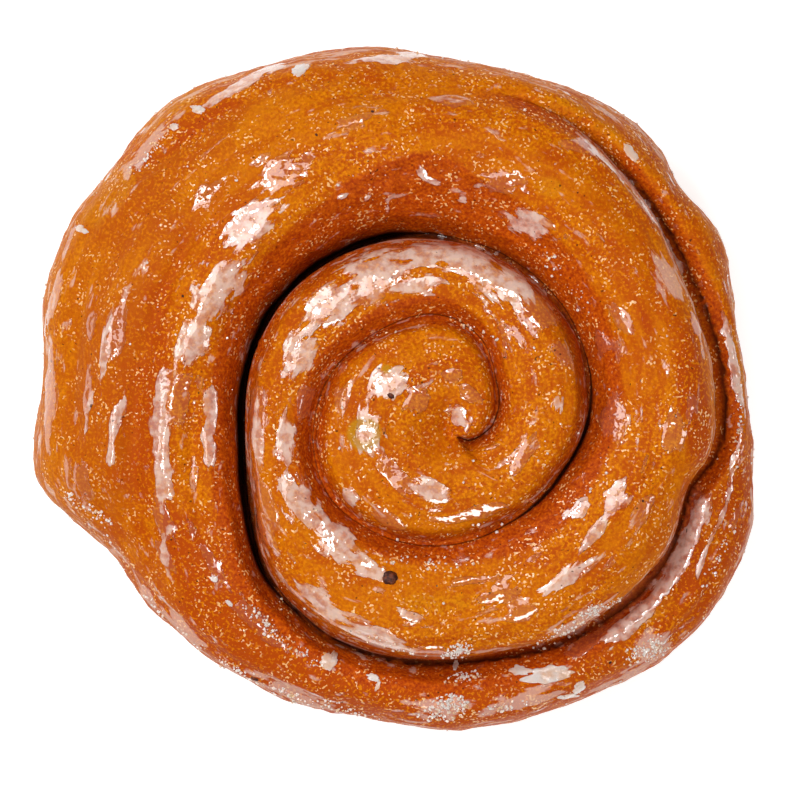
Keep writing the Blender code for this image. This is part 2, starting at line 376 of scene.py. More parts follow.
@dataclass
class Skin:
    """The strip's own measure of each point of the roll's skin, in millimetres and degrees."""

    places: np.ndarray
    normals: np.ndarray
    outline_bins: int = 180
    crest_bins: int = 240

    angle: np.ndarray = field(init=False)
    from_inner: np.ndarray = field(init=False)
    to_seam: np.ndarray = field(init=False)
    turns: np.ndarray = field(init=False)
    past_seam: np.ndarray = field(init=False)
    sunk: np.ndarray = field(init=False)
    strip: np.ndarray = field(init=False)
    plan: np.ndarray = field(init=False)
    on_top: np.ndarray = field(init=False)

    @classmethod
    def of(cls, mesh: bpy.types.Mesh) -> "Skin":
        """The skin of a mesh."""
        return cls(read_places(mesh) / MM, read_places(mesh, "normal"))

    def __post_init__(self) -> None:
        """Works out where each point lies on the wound strip."""
        self.plan = self.places[:, :2] - np.array(PICTURE.spiral_mm)
        radius = np.hypot(self.plan[:, 0], self.plan[:, 1])
        facing = np.degrees(np.arctan2(self.plan[:, 1], self.plan[:, 0])) % TURN
        outline = self.outline(radius, facing)
        start = SEAM_RADIUS[0][0]
        angle = np.where(facing >= start + TURN, facing - TURN, facing)
        inner = np.zeros_like(radius)
        outer = self.seam(angle, outline)
        for _ in range(3):
            beyond = (radius > outer) & (angle < SEAM_RADIUS[-1][0])
            inner = np.where(beyond, outer, inner)
            angle = np.where(beyond, angle + TURN, angle)
            outer = np.where(beyond, self.seam(angle, outline), outer)
        self.angle = angle
        self.from_inner = radius - inner
        seamless = angle >= SEAM_RADIUS[-1][0]
        to_outer = np.where(seamless, np.inf, outer - radius)
        to_inner = np.where(inner > 0, self.from_inner, np.inf)
        self.to_seam = np.minimum(to_inner, to_outer)
        self.turns = np.where(to_inner < to_outer, angle - TURN, angle)
        self.past_seam = np.clip(np.where(to_inner < to_outer, to_inner, -to_outer), -9, 9)
        self.sunk = self.crest(angle) - self.places[:, 2]
        layered = self.places[:, 2] + angle // TURN
        self.strip = np.stack([self.along(angle), self.from_inner, layered], axis=1)
        self.on_top = smooth_step(0.5, 3.0, self.to_seam) * smooth_step(0.0, 0.35, self.normals[:, 2])

    def outline(self, radius: np.ndarray, facing: np.ndarray) -> np.ndarray:
        """The roll's reach from the centre of the spiral, in the direction of each point.

        Args:
            radius: How far each point is from the centre.
            facing: Its direction, in degrees.

        Returns:
            One length for each point.
        """
        reach = np.zeros(self.outline_bins)
        where = (facing / TURN * self.outline_bins).astype(int) % self.outline_bins
        np.maximum.at(reach, where, radius)
        return reach[where]

    def seam(self, angle: np.ndarray, outline: np.ndarray) -> np.ndarray:
        """How far the strip's outer edge is from the centre, at each angle."""
        return np.where(angle < SEAM_RADIUS[-1][0], follow(SEAM_RADIUS, angle), outline + 1)

    def crest(self, angle: np.ndarray) -> np.ndarray:
        """The height of the strip's crest at each angle.

        Args:
            angle: The angle of each point along the strip.

        Returns:
            One height for each point.
        """
        low, high = SEAM_RADIUS[0][0], SEAM_RADIUS[-1][0] + TURN
        tops = np.zeros(self.crest_bins + 1)
        where = ((angle - low) / (high - low) * self.crest_bins).astype(int)
        np.maximum.at(tops, where, self.places[:, 2])
        middles = low + (np.arange(self.crest_bins + 1) + 0.5) * (high - low) / self.crest_bins
        return np.interp(angle, middles, tops)

    def along(self, angle: np.ndarray) -> np.ndarray:
        """How far each angle is along the middle of the strip, from its inner end.

        Args:
            angle: The angle of each point along the strip.

        Returns:
            One length for each point.
        """
        low, high = SEAM_RADIUS[0][0], SEAM_RADIUS[-1][0] + TURN
        angles = np.arange(low, high + 1)
        middle = (follow(SEAM_RADIUS, angles) + follow(SEAM_RADIUS, angles - TURN)) / 2
        lengths = np.concatenate([[0], np.cumsum(np.radians(1) * middle[1:])])
        return np.interp(angle, angles, lengths)

    def drawn(self, swell: Swell) -> np.ndarray:
        """Noise drawn out along the strip, which gives way to even noise by the seams and down the sides."""
        return self.on_top * swell.over(self.strip) + (1 - self.on_top) * swell.even().over(self.places)

    def near(self, fold: Fold) -> np.ndarray:
        """How near each point is to a fold's line.

        Args:
            fold: The fold.

        Returns:
            One number for each point, from 1 on the line to 0 far off.
        """
        stops = [np.array(PICTURE.plan(at)) / MM - np.array(PICTURE.spiral_mm) for at in fold.line]
        away = np.full(len(self.plan), np.inf)
        reach = np.zeros(len(self.plan))
        lengths = [float(np.linalg.norm(end - start)) for start, end in zip(stops, stops[1:])]
        gone = 0.0
        for start, end, length in zip(stops, stops[1:], lengths):
            share = np.clip((self.plan - start) @ (end - start) / length**2, 0.0, 1.0)
            apart = np.linalg.norm(self.plan - start - share[:, None] * (end - start), axis=1)
            reach = np.where(apart < away, (gone + share * length) / sum(lengths), reach)
            away = np.minimum(away, apart)
            gone += length
        ends = np.clip(6 * np.minimum(reach, 1 - reach), 0.0, 1.0)
        upward = smooth_step(-0.1, 0.2, self.normals[:, 2])
        return np.exp(-((away / fold.half_width) ** 2)) * ends * upward

    def pools(self, pools: tuple[Pool, ...]) -> np.ndarray:
        """How far inside the pools each point is.

        Args:
            pools: The pools, of which the nearest counts.

        Returns:
            One number for each point: 1 at a middle, 0 on an edge, and less outside.
        """
        best = np.full(len(self.plan), -1.0)
        for pool in pools:
            middle = np.array(PICTURE.plan(pool.at)) / MM - np.array(PICTURE.spiral_mm)
            heading = math.atan2(middle[1], middle[0]) + math.pi / 2
            if pool.turned:
                heading = math.radians(pool.turned)
            offset = self.plan - middle
            lengthwise = offset[:, 0] * math.cos(heading) + offset[:, 1] * math.sin(heading)
            sideways = offset[:, 1] * math.cos(heading) - offset[:, 0] * math.sin(heading)
            inside = 1 - np.hypot(lengthwise / pool.long, sideways / pool.wide)
            best = np.maximum(best, inside)
        upward = smooth_step(-0.1, 0.25, self.normals[:, 2])
        return np.where(upward > 0, best * upward - (1 - upward), -1.0)


@dataclass(frozen=True)
class Wire:
    """An output of a recipe's node, on which sums are written as in arithmetic."""

    recipe: "Recipe"
    socket: bpy.types.NodeSocket

    def __add__(self, other: object) -> "Wire":
        """The two added."""
        return self.recipe.math("ADD", self, other)

    def __sub__(self, other: object) -> "Wire":
        """This less the other."""
        return self.recipe.math("SUBTRACT", self, other)

    def __rsub__(self, other: float) -> "Wire":
        """A number less this."""
        return self.recipe.math("SUBTRACT", other, self)

    def __mul__(self, other: object) -> "Wire":
        """This times the other."""
        return self.recipe.math("MULTIPLY", self, other)

    def __abs__(self) -> "Wire":
        """How far this is from 0."""
        return self.recipe.math("ABSOLUTE", self)


class Recipe:
    """A material in the making: its node tree, and the few kinds of node that the finishes share."""

    def __init__(self, name: str) -> None:
        """Starts a material with a Principled shader.

        Args:
            name: The material's name.
        """
        self.material = bpy.data.materials.new(name)
        self.material.use_nodes = True
        self.tree = self.material.node_tree
        self.shader = self.tree.nodes["Principled BSDF"]
        self.place = Wire(self, self.node("ShaderNodeTexCoord").outputs["Object"])

    def node(self, kind: str) -> bpy.types.Node:
        """Adds a node of a kind."""
        return self.tree.nodes.new(kind)

    def feed(self, socket: bpy.types.NodeSocket, value: object) -> None:
        """Links a socket to a wire, or sets it to a number or a colour.

        Args:
            socket: The socket to feed.
            value: A wire, a number or a colour.
        """
        if isinstance(value, Wire):
            self.tree.links.new(value.socket, socket)
        elif isinstance(value, tuple) and len(value) == 3 and socket.type == "RGBA":
            socket.default_value = (*value, 1.0)
        else:
            socket.default_value = value

    def attribute(self, name: str, output: str = "Fac") -> Wire:
        """What is painted on the mesh under a name.

        Args:
            name: The attribute's name.
            output: Fac for a number, or Vector for three.

        Returns:
            Its wire.
        """
        node = self.node("ShaderNodeAttribute")
        node.attribute_name = name
        return Wire(self, node.outputs[output])

    def grain(self, wavelength: float, detail: float = 2.0, drawn: float = 1.0) -> Wire:
        """Noise over the piece.

        Args:
            wavelength: How far apart its grains are, in millimetres.
            detail: How many finer octaves it has.
            drawn: How many times longer its grains are along the strip.

        Returns:
            The noise, from 0 to 1 and mostly about a half.
        """
        node = self.node("ShaderNodeTexNoise")
        if drawn == 1.0:
            self.feed(node.inputs["Vector"], self.place)
        else:
            stretched = self.node("ShaderNodeVectorMath")
            stretched.operation = "MULTIPLY"
            self.feed(stretched.inputs[0], self.attribute("strip", "Vector"))
            stretched.inputs[1].default_value = (MM / drawn, MM, MM)
            self.feed(node.inputs["Vector"], Wire(self, stretched.outputs[0]))
        node.inputs["Scale"].default_value = 1 / (wavelength * MM)
        node.inputs["Detail"].default_value = detail
        return Wire(self, node.outputs[0])

    def math(self, operation: str, first: object, second: object = 0.0) -> Wire:
        """One sum on two numbers.

        Args:
            operation: The sum, as the Math node calls it.
            first: A wire or a number.
            second: Another.

        Returns:
            What it comes to.
        """
        node = self.node("ShaderNodeMath")
        node.operation = operation
        self.feed(node.inputs[0], first)
        self.feed(node.inputs[1], second)
        return Wire(self, node.outputs[0])

    def most(self, first: object, second: object) -> Wire:
        """The greater of two numbers."""
        return self.math("MAXIMUM", first, second)

    def step(self, value: Wire, low: float, high: float, to: tuple[float, float] = (0.0, 1.0)) -> Wire:
        """A smooth rise as a value goes from low to high.

        Args:
            value: What the rise follows.
            low: Where it starts.
            high: Where it ends.
            to: From what to what.

        Returns:
            The rise.
        """
        node = self.node("ShaderNodeMapRange")
        node.interpolation_type = "SMOOTHSTEP"
        names = ("Value", "From Min", "From Max", "To Min", "To Max")
        for name, number in zip(names, (value, low, high, *to)):
            self.feed(node.inputs[name], number)
        return Wire(self, node.outputs["Result"])

    def mix(self, share: object, first: object, second: object) -> Wire:
        """A colour between two, by a share from 0 to 1.

        Args:
            share: 0 for the first and 1 for the second.
            first: A wire or a colour.
            second: Another.

        Returns:
            The colour between.
        """
        node = self.node("ShaderNodeMix")
        node.data_type = "RGBA"
        self.feed(node.inputs[0], share)
        self.feed(node.inputs[6], first)
        self.feed(node.inputs[7], second)
        return Wire(self, node.outputs[2])

    def blend(self, share: object, first: object, second: object) -> Wire:
        """A number between two, by a share from 0 to 1.

        Args:
            share: 0 for the first and 1 for the second.
            first: A wire or a number.
            second: Another.

        Returns:
            The number between.
        """
        node = self.node("ShaderNodeMix")
        self.feed(node.inputs[0], share)
        self.feed(node.inputs[2], first)
        self.feed(node.inputs[3], second)
        return Wire(self, node.outputs[0])

    def bump(self, height: object, reach: float, under: object = None) -> Wire:
        """A bumped normal.

        Args:
            height: The relief, from 0 to 1.
            reach: How far 1 stands out, in millimetres.
            under: A bumped normal to add to.

        Returns:
            The normal.
        """
        node = self.node("ShaderNodeBump")
        node.inputs["Distance"].default_value = reach * MM
        self.feed(node.inputs["Height"], height)
        if under is not None:
            self.feed(node.inputs["Normal"], under)
        return Wire(self, node.outputs["Normal"])

    def spot(self, at: Pixel, reach: float) -> Wire:
        """How far each point is from a place seen from above.

        Args:
            at: The place.
            reach: The distance that counts as 1, in millimetres.

        Returns:
            The share of reach.
        """
        flat = self.node("ShaderNodeVectorMath")
        flat.operation = "MULTIPLY"
        self.feed(flat.inputs[0], self.place)
        flat.inputs[1].default_value = (1, 1, 0)
        away = self.node("ShaderNodeVectorMath")
        away.operation = "DISTANCE"
        self.feed(away.inputs[0], Wire(self, flat.outputs[0]))
        away.inputs[1].default_value = (*PICTURE.plan(at), 0.0)
        return Wire(self, away.outputs["Value"]) * (1 / (reach * MM))

    def set(self, **values: object) -> None:
        """Sets the shader's sockets.

        Args:
            **values: A value for each socket, named in lower case with low lines for spaces.
        """
        names = {name.lower().replace(" ", "_"): name for name in self.shader.inputs.keys()}
        for name, value in values.items():
            self.feed(self.shader.inputs[names[name]], value)


@dataclass(frozen=True)
class CrustFinish:
    """Golden brown crust under clear sugar glaze, painted milky where the glaze dried thick and as painted
    reflection of the lights, with painted shade down its seams.
    """

    gold: Colour = (0.60, 0.150, 0.001)
    amber: Colour = (0.51, 0.096, 0.001)
    bright: Colour = (0.78, 0.245, 0.002)
    straw: Colour = (0.62, 0.205, 0.002)
    rust: Colour = (0.45, 0.062, 0.002)
    ember: Colour = (0.62, 0.110, 0.003)
    shade: Colour = (0.34, 0.034, 0.002)
    dark: Colour = (0.045, 0.007, 0.002)
    milk_and_sheen: Colour = (0.95, 0.77, 0.67)
    glint: Colour = (1.0, 0.60, 0.24)
    spice: Colour = (0.07, 0.014, 0.004)
    # Near black, painted as shade in the seam's gap and at the bottom of deep seams.
    egg: Colour = (0.50, 0.24, 0.01)
    tan: Colour = (0.52, 0.24, 0.07)
    brown: Colour = (0.19, 0.055, 0.012)
    egg_ring_at: Pixel = (365, 433)
    egg_ring_reach: float = 2.1
    egg_dot_at: Pixel = (387, 370)

    def material(self) -> bpy.types.Material:
        """Mixes the crust.

        Returns:
            A material that reads the attributes that Crust paints.
        """
        recipe = Recipe("glazed_crust")
        on_top = recipe.attribute("on_top")
        coarse = recipe.attribute("coarse")
        fine = recipe.grain(0.54, 2)
        facets = recipe.grain(1.25, 1)

        # Glaze: the clear film; where it is milky, partly dried glaze and partly painted reflection; where it
        # is frosted, with a painted sheen along the falling rim; and the bare crust between.
        rags = recipe.blend(on_top, recipe.grain(2.2, 4), recipe.grain(1.5, 4, 2.8)) - 0.5
        film = recipe.step(recipe.attribute("glaze") + rags * 2.4, 0.0, 0.12)
        milk_and_sheen = recipe.step(recipe.attribute("milk_and_sheen") + rags * 2.8, -0.05, 0.25) * film
        frost_and_rim_sheen = recipe.step(recipe.attribute("frost_and_rim_sheen") + rags * 3.0, 0.0, 0.35)
        bare = 1.0 - film

        # Dough: browned more or less, with pits and lit grains, darker in the dips of its relief as painted
        # shade, redder on the flanks partly as browning and partly as painted shade, and painted dark shade
        # in the seam.
        pits = recipe.step(fine, 0.48, 0.37)
        lit = recipe.step(fine, 0.53, 0.64)
        drift = recipe.blend(on_top, recipe.grain(4.0, 2), recipe.grain(1.8, 2, 4.5)) - 0.5
        # Tone: browning that differs at random, with painted shade in fold valleys and on the outer turn's
        # lower side.
        tone_and_shade = recipe.attribute("tone_and_shade") + drift * 2.6
        colour = recipe.mix(recipe.step(tone_and_shade, 0.25, 0.75), self.amber, self.gold)
        colour = recipe.mix(recipe.step(tone_and_shade, 0.25, -0.45), colour, self.rust)
        colour = recipe.mix(recipe.attribute("straw"), colour, self.straw)
        colour = recipe.mix(recipe.attribute("side"), colour, self.tan)
        # Darker in the dips of the coarse relief: partly the crust's own mottle, partly painted shade.
        dent_mottle_and_shade = recipe.most(pits, recipe.step(facets, 0.46, 0.30, (0.0, 0.8)))
        colour = recipe.mix(dent_mottle_and_shade * coarse, colour, self.rust)
        colour = recipe.mix(lit * coarse, colour, self.bright)
        # The flanks' colour: red-brown, partly browning, partly painted shade down into the seams.
        flank_brown_and_shade = recipe.mix(lit * 0.8, recipe.mix(pits, self.rust, self.shade), self.ember)
        colour = recipe.mix(recipe.attribute("flank_brown_and_shade"), colour, flank_brown_and_shade)
        colour = recipe.mix(recipe.attribute("foot"), colour, self.brown)
        # Painted shade: the seam's gap and the bottom of deep open seams are painted near black.
        past_gap = abs(recipe.attribute("past_seam")) - recipe.attribute("gap")
        deep = recipe.most(recipe.attribute("deep"), recipe.step(past_gap, 0.30, 0.0))
        colour = recipe.mix(deep, colour, self.dark)

        # What lies on it: painted glints on the bare crust, milky glaze and frost with painted reflection and
        # a painted rim sheen, traces of egg wash, and spice.
        sparkle = recipe.step(recipe.grain(0.46, 0), 0.65, 0.69) * bare
        sparkle *= recipe.step(recipe.grain(3.4, 2), 0.46, 0.60)
        sparkle *= recipe.step(coarse, 0.1, 0.5)
        sparkle *= 1.0 - deep
        # Painted glints: bright dots in the base colour, on the bare crust where its sugar grains catch the
        # light.
        colour = recipe.mix(sparkle * 0.75, colour, self.glint)
        # Painted reflection: the milky veil whitens the glaze, partly its own colour, partly the lights'
        # reflection painted in.
        cloud = recipe.step(recipe.grain(1.8, 3), 0.36, 0.62, (0.22, 0.62))
        veil_and_sheen = recipe.most(recipe.most(film * 0.03, milk_and_sheen * cloud), frost_and_rim_sheen * 0.34)
        colour = recipe.mix(veil_and_sheen * (1.0 - deep), colour, self.milk_and_sheen)
        ring = recipe.step(abs(recipe.spot(self.egg_ring_at, self.egg_ring_reach) - 1.0), 0.6, 0.15)
        dot = recipe.step(recipe.spot(self.egg_dot_at, 1.0), 1.1, 0.5)
        colour = recipe.mix(recipe.most(ring, dot) * 0.75, colour, self.egg)
        colour = recipe.mix(recipe.step(recipe.grain(0.6, 0), 0.82, 0.84, (0.0, 0.8)), colour, self.spice)

        normal = recipe.bump(facets * (bare * coarse), 0.32)
        normal = recipe.bump(fine * bare, 0.10, normal)
        normal = recipe.bump(recipe.grain(2.3, 2) * film, 0.26, normal)
        normal = recipe.bump(film, 0.03, normal)
        recipe.set(
            base_color=colour,
            roughness=0.5,
            specular_ior_level=0.04,
            subsurface_weight=0.08,
            subsurface_radius=(1.0, 0.35, 0.12),
            subsurface_scale=0.0010,
            coat_weight=recipe.most(film, sparkle * 0.45),
            coat_roughness=0.05,
            coat_ior=1.95,
            normal=normal,
            coat_normal=normal,
        )
        return recipe.material


@dataclass(frozen=True)
class LooseFinish:
    """The finish of what lies loose on the crust: two colours that mingle, a fine relief and an uneven gloss.

    Each noise starts with its wavelength in millimetres and its detail. After these, mingled holds the noise
    at which each colour is pure, relief its height in millimetres, and rough the least and most roughness.
    """

    name: str
    first: Colour
    second: Colour
    mingled: tuple[float, float, float, float]
    relief: tuple[float, float, float]
    rough: tuple[float, float, float, float]
    shader: tuple[tuple[str, object], ...]
    coat_relief: bool = False

    def material(self) -> bpy.types.Material:
        """Mixes the finish.

        Returns:
            Its material.
        """
        recipe = Recipe(self.name)
        share = recipe.step(recipe.grain(*self.mingled[:2]), *self.mingled[2:])
        normal = recipe.bump(recipe.grain(*self.relief[:2]), self.relief[2])
        rough = recipe.step(recipe.grain(*self.rough[:2]), 0.3, 0.7, self.rough[2:])
        recipe.set(base_color=recipe.mix(share, self.first, self.second), roughness=rough, normal=normal)
        recipe.set(**dict(self.shader))
        if self.coat_relief:
            recipe.set(coat_normal=normal)
        return recipe.material


# Glaze that dried thick: off white, faintly see-through and semi gloss.
DRIED_GLAZE = LooseFinish(
    "dried_glaze", (0.72, 0.60, 0.55), (0.72, 0.44, 0.30),
    mingled=(3.0, 3, 0.40, 0.66),
    relief=(1.4, 3, 0.18),
    rough=(2.0, 2, 0.22, 0.4),
    shader=(
        ("subsurface_weight", 0.25), ("subsurface_radius", (1.0, 0.7, 0.5)), ("subsurface_scale", 0.001),
        ("coat_weight", 0.4), ("coat_roughness", 0.08),
    ),
    coat_relief=True,
)
# Clear to white sugar crystals.
SUGAR = LooseFinish(
    "sugar_crystal", (0.86, 0.74, 0.66), (0.80, 0.46, 0.22),
    mingled=(2.4, 1, 0.48, 0.70),
    relief=(0.25, 2, 0.03),
    rough=(0.8, 1, 0.08, 0.3),
    shader=(
        ("subsurface_weight", 0.4), ("subsurface_radius", (1.0, 0.9, 0.8)), ("subsurface_scale", 0.0006),
        ("coat_weight", 0.3), ("coat_roughness", 0.05),
    ),
)
# Burnt sugar and spice, near black.
SPICE = LooseFinish(
    "burnt_spice", (0.050, 0.011, 0.006), (0.17, 0.034, 0.010),
    mingled=(0.7, 3, 0.40, 0.62),
    relief=(0.5, 3, 0.12),
    rough=(0.6, 2, 0.3, 0.6),
    shader=(("specular_ior_level", 0.25),),
)


def only(piece: bpy.types.Object) -> None:
    """Makes a piece the one selected and active object.

    Args:
        piece: The piece.
    """
    bpy.ops.object.select_all(action="DESELECT")
    piece.select_set(True)
    bpy.context.view_layer.objects.active = piece


def apply(piece: bpy.types.Object, kind: str, **settings: object) -> None:
    """Adds a modifier to a piece and applies it.

    Args:
        piece: The piece to change.
        kind: The modifier's type.
        **settings: The modifier's settings.
    """
    only(piece)
    modifier = piece.modifiers.new(kind.lower(), kind)
    for name, value in settings.items():
        setattr(modifier, name, value)
    bpy.ops.object.modifier_apply(modifier=modifier.name)


def apply_by_share(
    piece: bpy.types.Object, share: np.ndarray, kind: str, least: float = 0.01, **settings: object
) -> None:
    """Adds a modifier that acts on each vertex by a share, and applies it.

    Args:
        piece: The piece to change.
        share: One number for each vertex, from 0 to 1.
        kind: The modifier's type.
        least: The share that a vertex must pass to be changed at all.
        **settings: The modifier's settings.
    """
    group = piece.vertex_groups.new(name="share")
    for index in np.flatnonzero(share > least).tolist():
        group.add((index,), float(share[index]), "REPLACE")
    apply(piece, kind, vertex_group=group.name, **settings)
    piece.vertex_groups.clear()


def join(parts: list[bpy.types.Object], name: str) -> bpy.types.Object:
    """Joins parts into one smooth piece, with its place in its mesh.

    Args:
        parts: The parts, which become one mesh.
        name: The piece's name.

    Returns:
        The piece.
    """
    only(parts[0])
    for part in parts:
        part.select_set(True)
    bpy.ops.object.join()
    piece = bpy.context.active_object
    piece.name = name
    bpy.ops.object.transform_apply(location=True, rotation=True, scale=True)
    piece.data.shade_smooth()
    return piece


def read_places(mesh: bpy.types.Mesh, what: str = "co") -> np.ndarray:
    """The points or the normals of a mesh's vertices.

    Args:
        mesh: The mesh.
        what: co for the points, or normal.

    Returns:
        One row of three for each vertex.
    """
    numbers = np.empty(len(mesh.vertices) * 3)
    mesh.vertices.foreach_get(what, numbers)
    return numbers.reshape(-1, 3)


def finish_piece(piece: bpy.types.Object, material: bpy.types.Material) -> None:
    """Gives a piece its only material, and sets it on the body it rides on.

    Args:
        piece: The finished piece.
        material: Its material.
    """
    piece.data.materials.clear()
    piece.data.materials.append(material)
    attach(piece, BODY)
    log.info("%s: %d vertices", piece.name, len(piece.data.vertices))


@dataclass
class Crust:
    """The roll itself: the solid's form, refined, with the relief of baked dough and pooled glaze."""

    core: bpy.types.Object
    smoothing: int = 2
    grid: float = 0.5
    most_relief: float = 2.0
    film_height: float = 0.16
    drawn_back: float = 1.0
    left_open: float = 0.3
    gap_depth: float = 8.0
    most_triangles: int = 195_000
    thinning: tuple[float, float] = (0.3, 0.6)
    margin: float = 0.25

    # Where the seam has baked shut, where glaze fills it, and stretches with folds, with a wider painted
    # shade down the seam, with a paler and smoother crust, and with painted shade on the outer turn.
    shut: Stretch = Stretch((796, 812), (880, 905))
    filled: Stretch = Stretch((706, 718), (742, 758))
    last_turn: float = 900
    folded: Stretch = Stretch((815, 840), (970, 1000))
    ring: Stretch = Stretch((310, 400), (590, 640))
    outer_end: Stretch = Stretch((810, 850), (905, 940))
    shaded: Stretch = Stretch((905, 960), (1060, 1110))
    flank_ends: tuple[float, float] = (1130, 1165)

    # Relief.
    lump: Swell = Swell((7.5, 7.5, 7.5), 1.9, 0.25)
    wrinkle: Swell = Swell((8.0, 2.4, 3.2), 5.3, 0.22)
    broad_folds: tuple[Swell, ...] = (Swell((34, 4.6, 7.0), 21.7, 0.30), Swell((16, 2.2, 3.5), 27.9, 0.16))
    crinkle: Swell = Swell((2.2, 4.5, 4.5), 61.7)
    knob: Swell = Swell((2.1, 2.1, 2.1), 9.1, 0.11)
    fine_knob: Swell = Swell((1.1, 1.1, 1.1), 13.7, 0.06)

    # Ragged edges and colour.
    rags: tuple[Swell, ...] = (Swell((4.5, 2.2, 2.6), 3.1, 0.40), Swell((1.9, 1.1, 1.3), 8.7, 0.24))
    stray_glaze: Swell = Swell((8.0, 2.4, 4.0), 15.3)
    wander: Swell = Swell((5.0, 5.0, 5.0), 31.3)
    tint: Swell = Swell((26, 3.2, 5.0), 71.3, 0.45)
    granules: Swell = Swell((20, 6, 8), 91.1, 0.6)
    frost_streaks: Swell = Swell((14, 2.0, 1.6), 51.1, 0.9)

    def build(self) -> bpy.types.Object:
        """Makes the roll.

        Returns:
            The piece that stands for the solid.
        """
        roll = bpy.data.objects.new("glazed_roll", self.core.data.copy())
        bpy.context.scene.collection.objects.link(roll)
        self.refine(roll)
        self.shape(roll)
        finish_piece(roll, CrustFinish().material())
        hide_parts(NODE)
        return roll

    def refine(self, roll: bpy.types.Object) -> None:
        """Divides the copy smoothly, and lays an even fine grid of faces over it.

        Args:
            roll: The copy of the solid.
        """
        only(roll)
        bpy.ops.object.mode_set(mode="EDIT")
        bpy.ops.mesh.select_all(action="SELECT")
        bpy.ops.mesh.remove_doubles(threshold=1e-6)
        bpy.ops.mesh.customdata_custom_splitnormals_clear()
        bpy.ops.mesh.tris_convert_to_quads(face_threshold=math.radians(60), shape_threshold=math.radians(60))
        bpy.ops.object.mode_set(mode="OBJECT")
        apply(roll, "SUBSURF", levels=self.smoothing, render_levels=self.smoothing)
        self.move_walls(roll, apart=True)
        apply(roll, "REMESH", mode="VOXEL", voxel_size=self.grid * MM)
        self.move_walls(roll, apart=False)
        apply(roll, "SMOOTH", factor=0.5, iterations=2)

    def move_walls(self, roll: bpy.types.Object, apart: bool) -> None:
        """Draws the seam's walls apart, so that the grid leaves it open, or closes them to a narrow gap.

        Args:
            roll: The roll in the making.
            apart: Whether to draw them apart.
        """
        skin = Skin.of(roll.data)
        can_move = 1 - smooth_step(*self.shut.fade_in, skin.turns)
        can_move *= smooth_step(0.0, 4.0, skin.places[:, 2])
        if apart:
            back = self.drawn_back * (1 - smooth_step(1.2, 3.6, skin.to_seam))
            self.raise_relief(roll, -back * can_move, False)
        else:
            out = (self.drawn_back - self.left_open) * (1 - smooth_step(2.2, 4.0, skin.to_seam))
            self.raise_relief(roll, out * can_move, True)

    def cut_gap(self, roll: bpy.types.Object, skin: Skin) -> None:
        """Sinks a narrow gap between the seam's walls.

        Args:
            roll: The roll in the making.
            skin: Its skin, as it was before the relief.
        """
        gap = follow(SEAM_GAP, skin.turns)
        share = 1 - smooth_step(-0.15, 0.40, skin.to_seam - gap)
        share *= smooth_step(14.0, 22.0, skin.places[:, 2]) * smooth_step(-0.05, 0.40, gap)
        apply_by_share(roll, share, "DISPLACE", direction="Z", strength=-self.gap_depth * MM, mid_level=0.0)

    def shape(self, roll: bpy.types.Object) -> None:
        """Works out the relief and the paint of each vertex, and raises the relief.

        Args:
            roll: The roll in the making.
        """
        self.ease_seam(roll)
        mesh = roll.data
        skin = Skin.of(mesh)
        glaze = self.glaze(skin)
        relief = self.relief(skin, glaze)
        self.paint(mesh, skin, glaze)
        for upward in (True, False):
            self.raise_relief(roll, relief, upward)
        self.cut_gap(roll, skin)
        self.thin_out(roll, skin)
        self.fit(mesh)
        mesh.shade_smooth()

    def glaze(self, skin: Skin) -> np.ndarray:
        """How deep inside a pool of glaze each vertex is.

        Args:
            skin: The roll's skin.

        Returns:
            One number for each vertex, above 0 where glaze lies.
        """
        pools = skin.pools(POOLS[Glazing.CLEAR] + POOLS[Glazing.MILKY])
        ragged = sum(skin.drawn(swell) for swell in self.rags)
        stray = skin.drawn(self.stray_glaze) - 0.60
        return np.maximum(np.maximum(pools, self.runs(skin)) + ragged, stray + 0.5 * ragged)

    def runs(self, skin: Skin) -> np.ndarray:
        """How deep inside a long run of glaze each vertex is, above 0 where it lies."""
        return np.max([1.5 * run.height * skin.near(run) for run in RUNS], axis=0) - 0.6

    def relief(self, skin: Skin, glaze: np.ndarray) -> np.ndarray:
        """How far each vertex stands out from the smooth form, in millimetres.

        Args:
            skin: The roll's skin.
            glaze: How deep inside the glaze each vertex is.

        Returns:
            One length for each vertex.
        """
        film = smooth_step(0.0, 0.12, glaze)
        near_seam = np.maximum(smooth_step(0.2, 2.2, skin.to_seam), self.closed_seam(skin))
        folds = sum(skin.drawn(swell) for swell in self.broad_folds)
        folds *= self.folded.share(skin.angle) * smooth_step(0.0, 3.0, skin.to_seam)
        crinkled = sum(fold.height * skin.near(fold) for fold in CRINKLES)
        crinkled *= self.crinkle.over(skin.strip) * smooth_step(0.3, 1.5, skin.to_seam)
        knobs = self.knob.over(skin.places) * (1 - 0.4 * film)
        knobs += self.fine_knob.over(skin.places) * (1 - 0.8 * film)
        wrinkles = skin.drawn(self.wrinkle) * (1 - 0.5 * film)
        relief = (folds + wrinkles + knobs + self.drawn_folds(skin) + crinkled) * near_seam
        relief += self.lump.over(skin.places) + self.film_height * film
        relief *= smooth_step(0.2, 4.0, skin.places[:, 2])
        return np.where(skin.normals[:, 2] < -0.9, 0.0, relief)

    def drawn_folds(self, skin: Skin) -> np.ndarray:
        """How far the folds stand out at each vertex, below 0 in the valleys."""
        return sum(fold.height * skin.near(fold) for fold in FOLDS)

    def closed_seam(self, skin: Skin) -> np.ndarray:
        """1 where the seam has baked shut near its outer end, and 0 elsewhere."""
        outside = smooth_step(*(edge + TURN for edge in self.shut.fade_in), skin.angle)
        return np.maximum(self.shut.share(skin.angle), outside)

    def filled_seam(self, skin: Skin) -> np.ndarray:
        """How far the glaze has filled the seam down the roll's right side, from 0 to 1."""
        return self.filled.share(skin.angle - np.where(skin.angle > self.last_turn, TURN, 0))

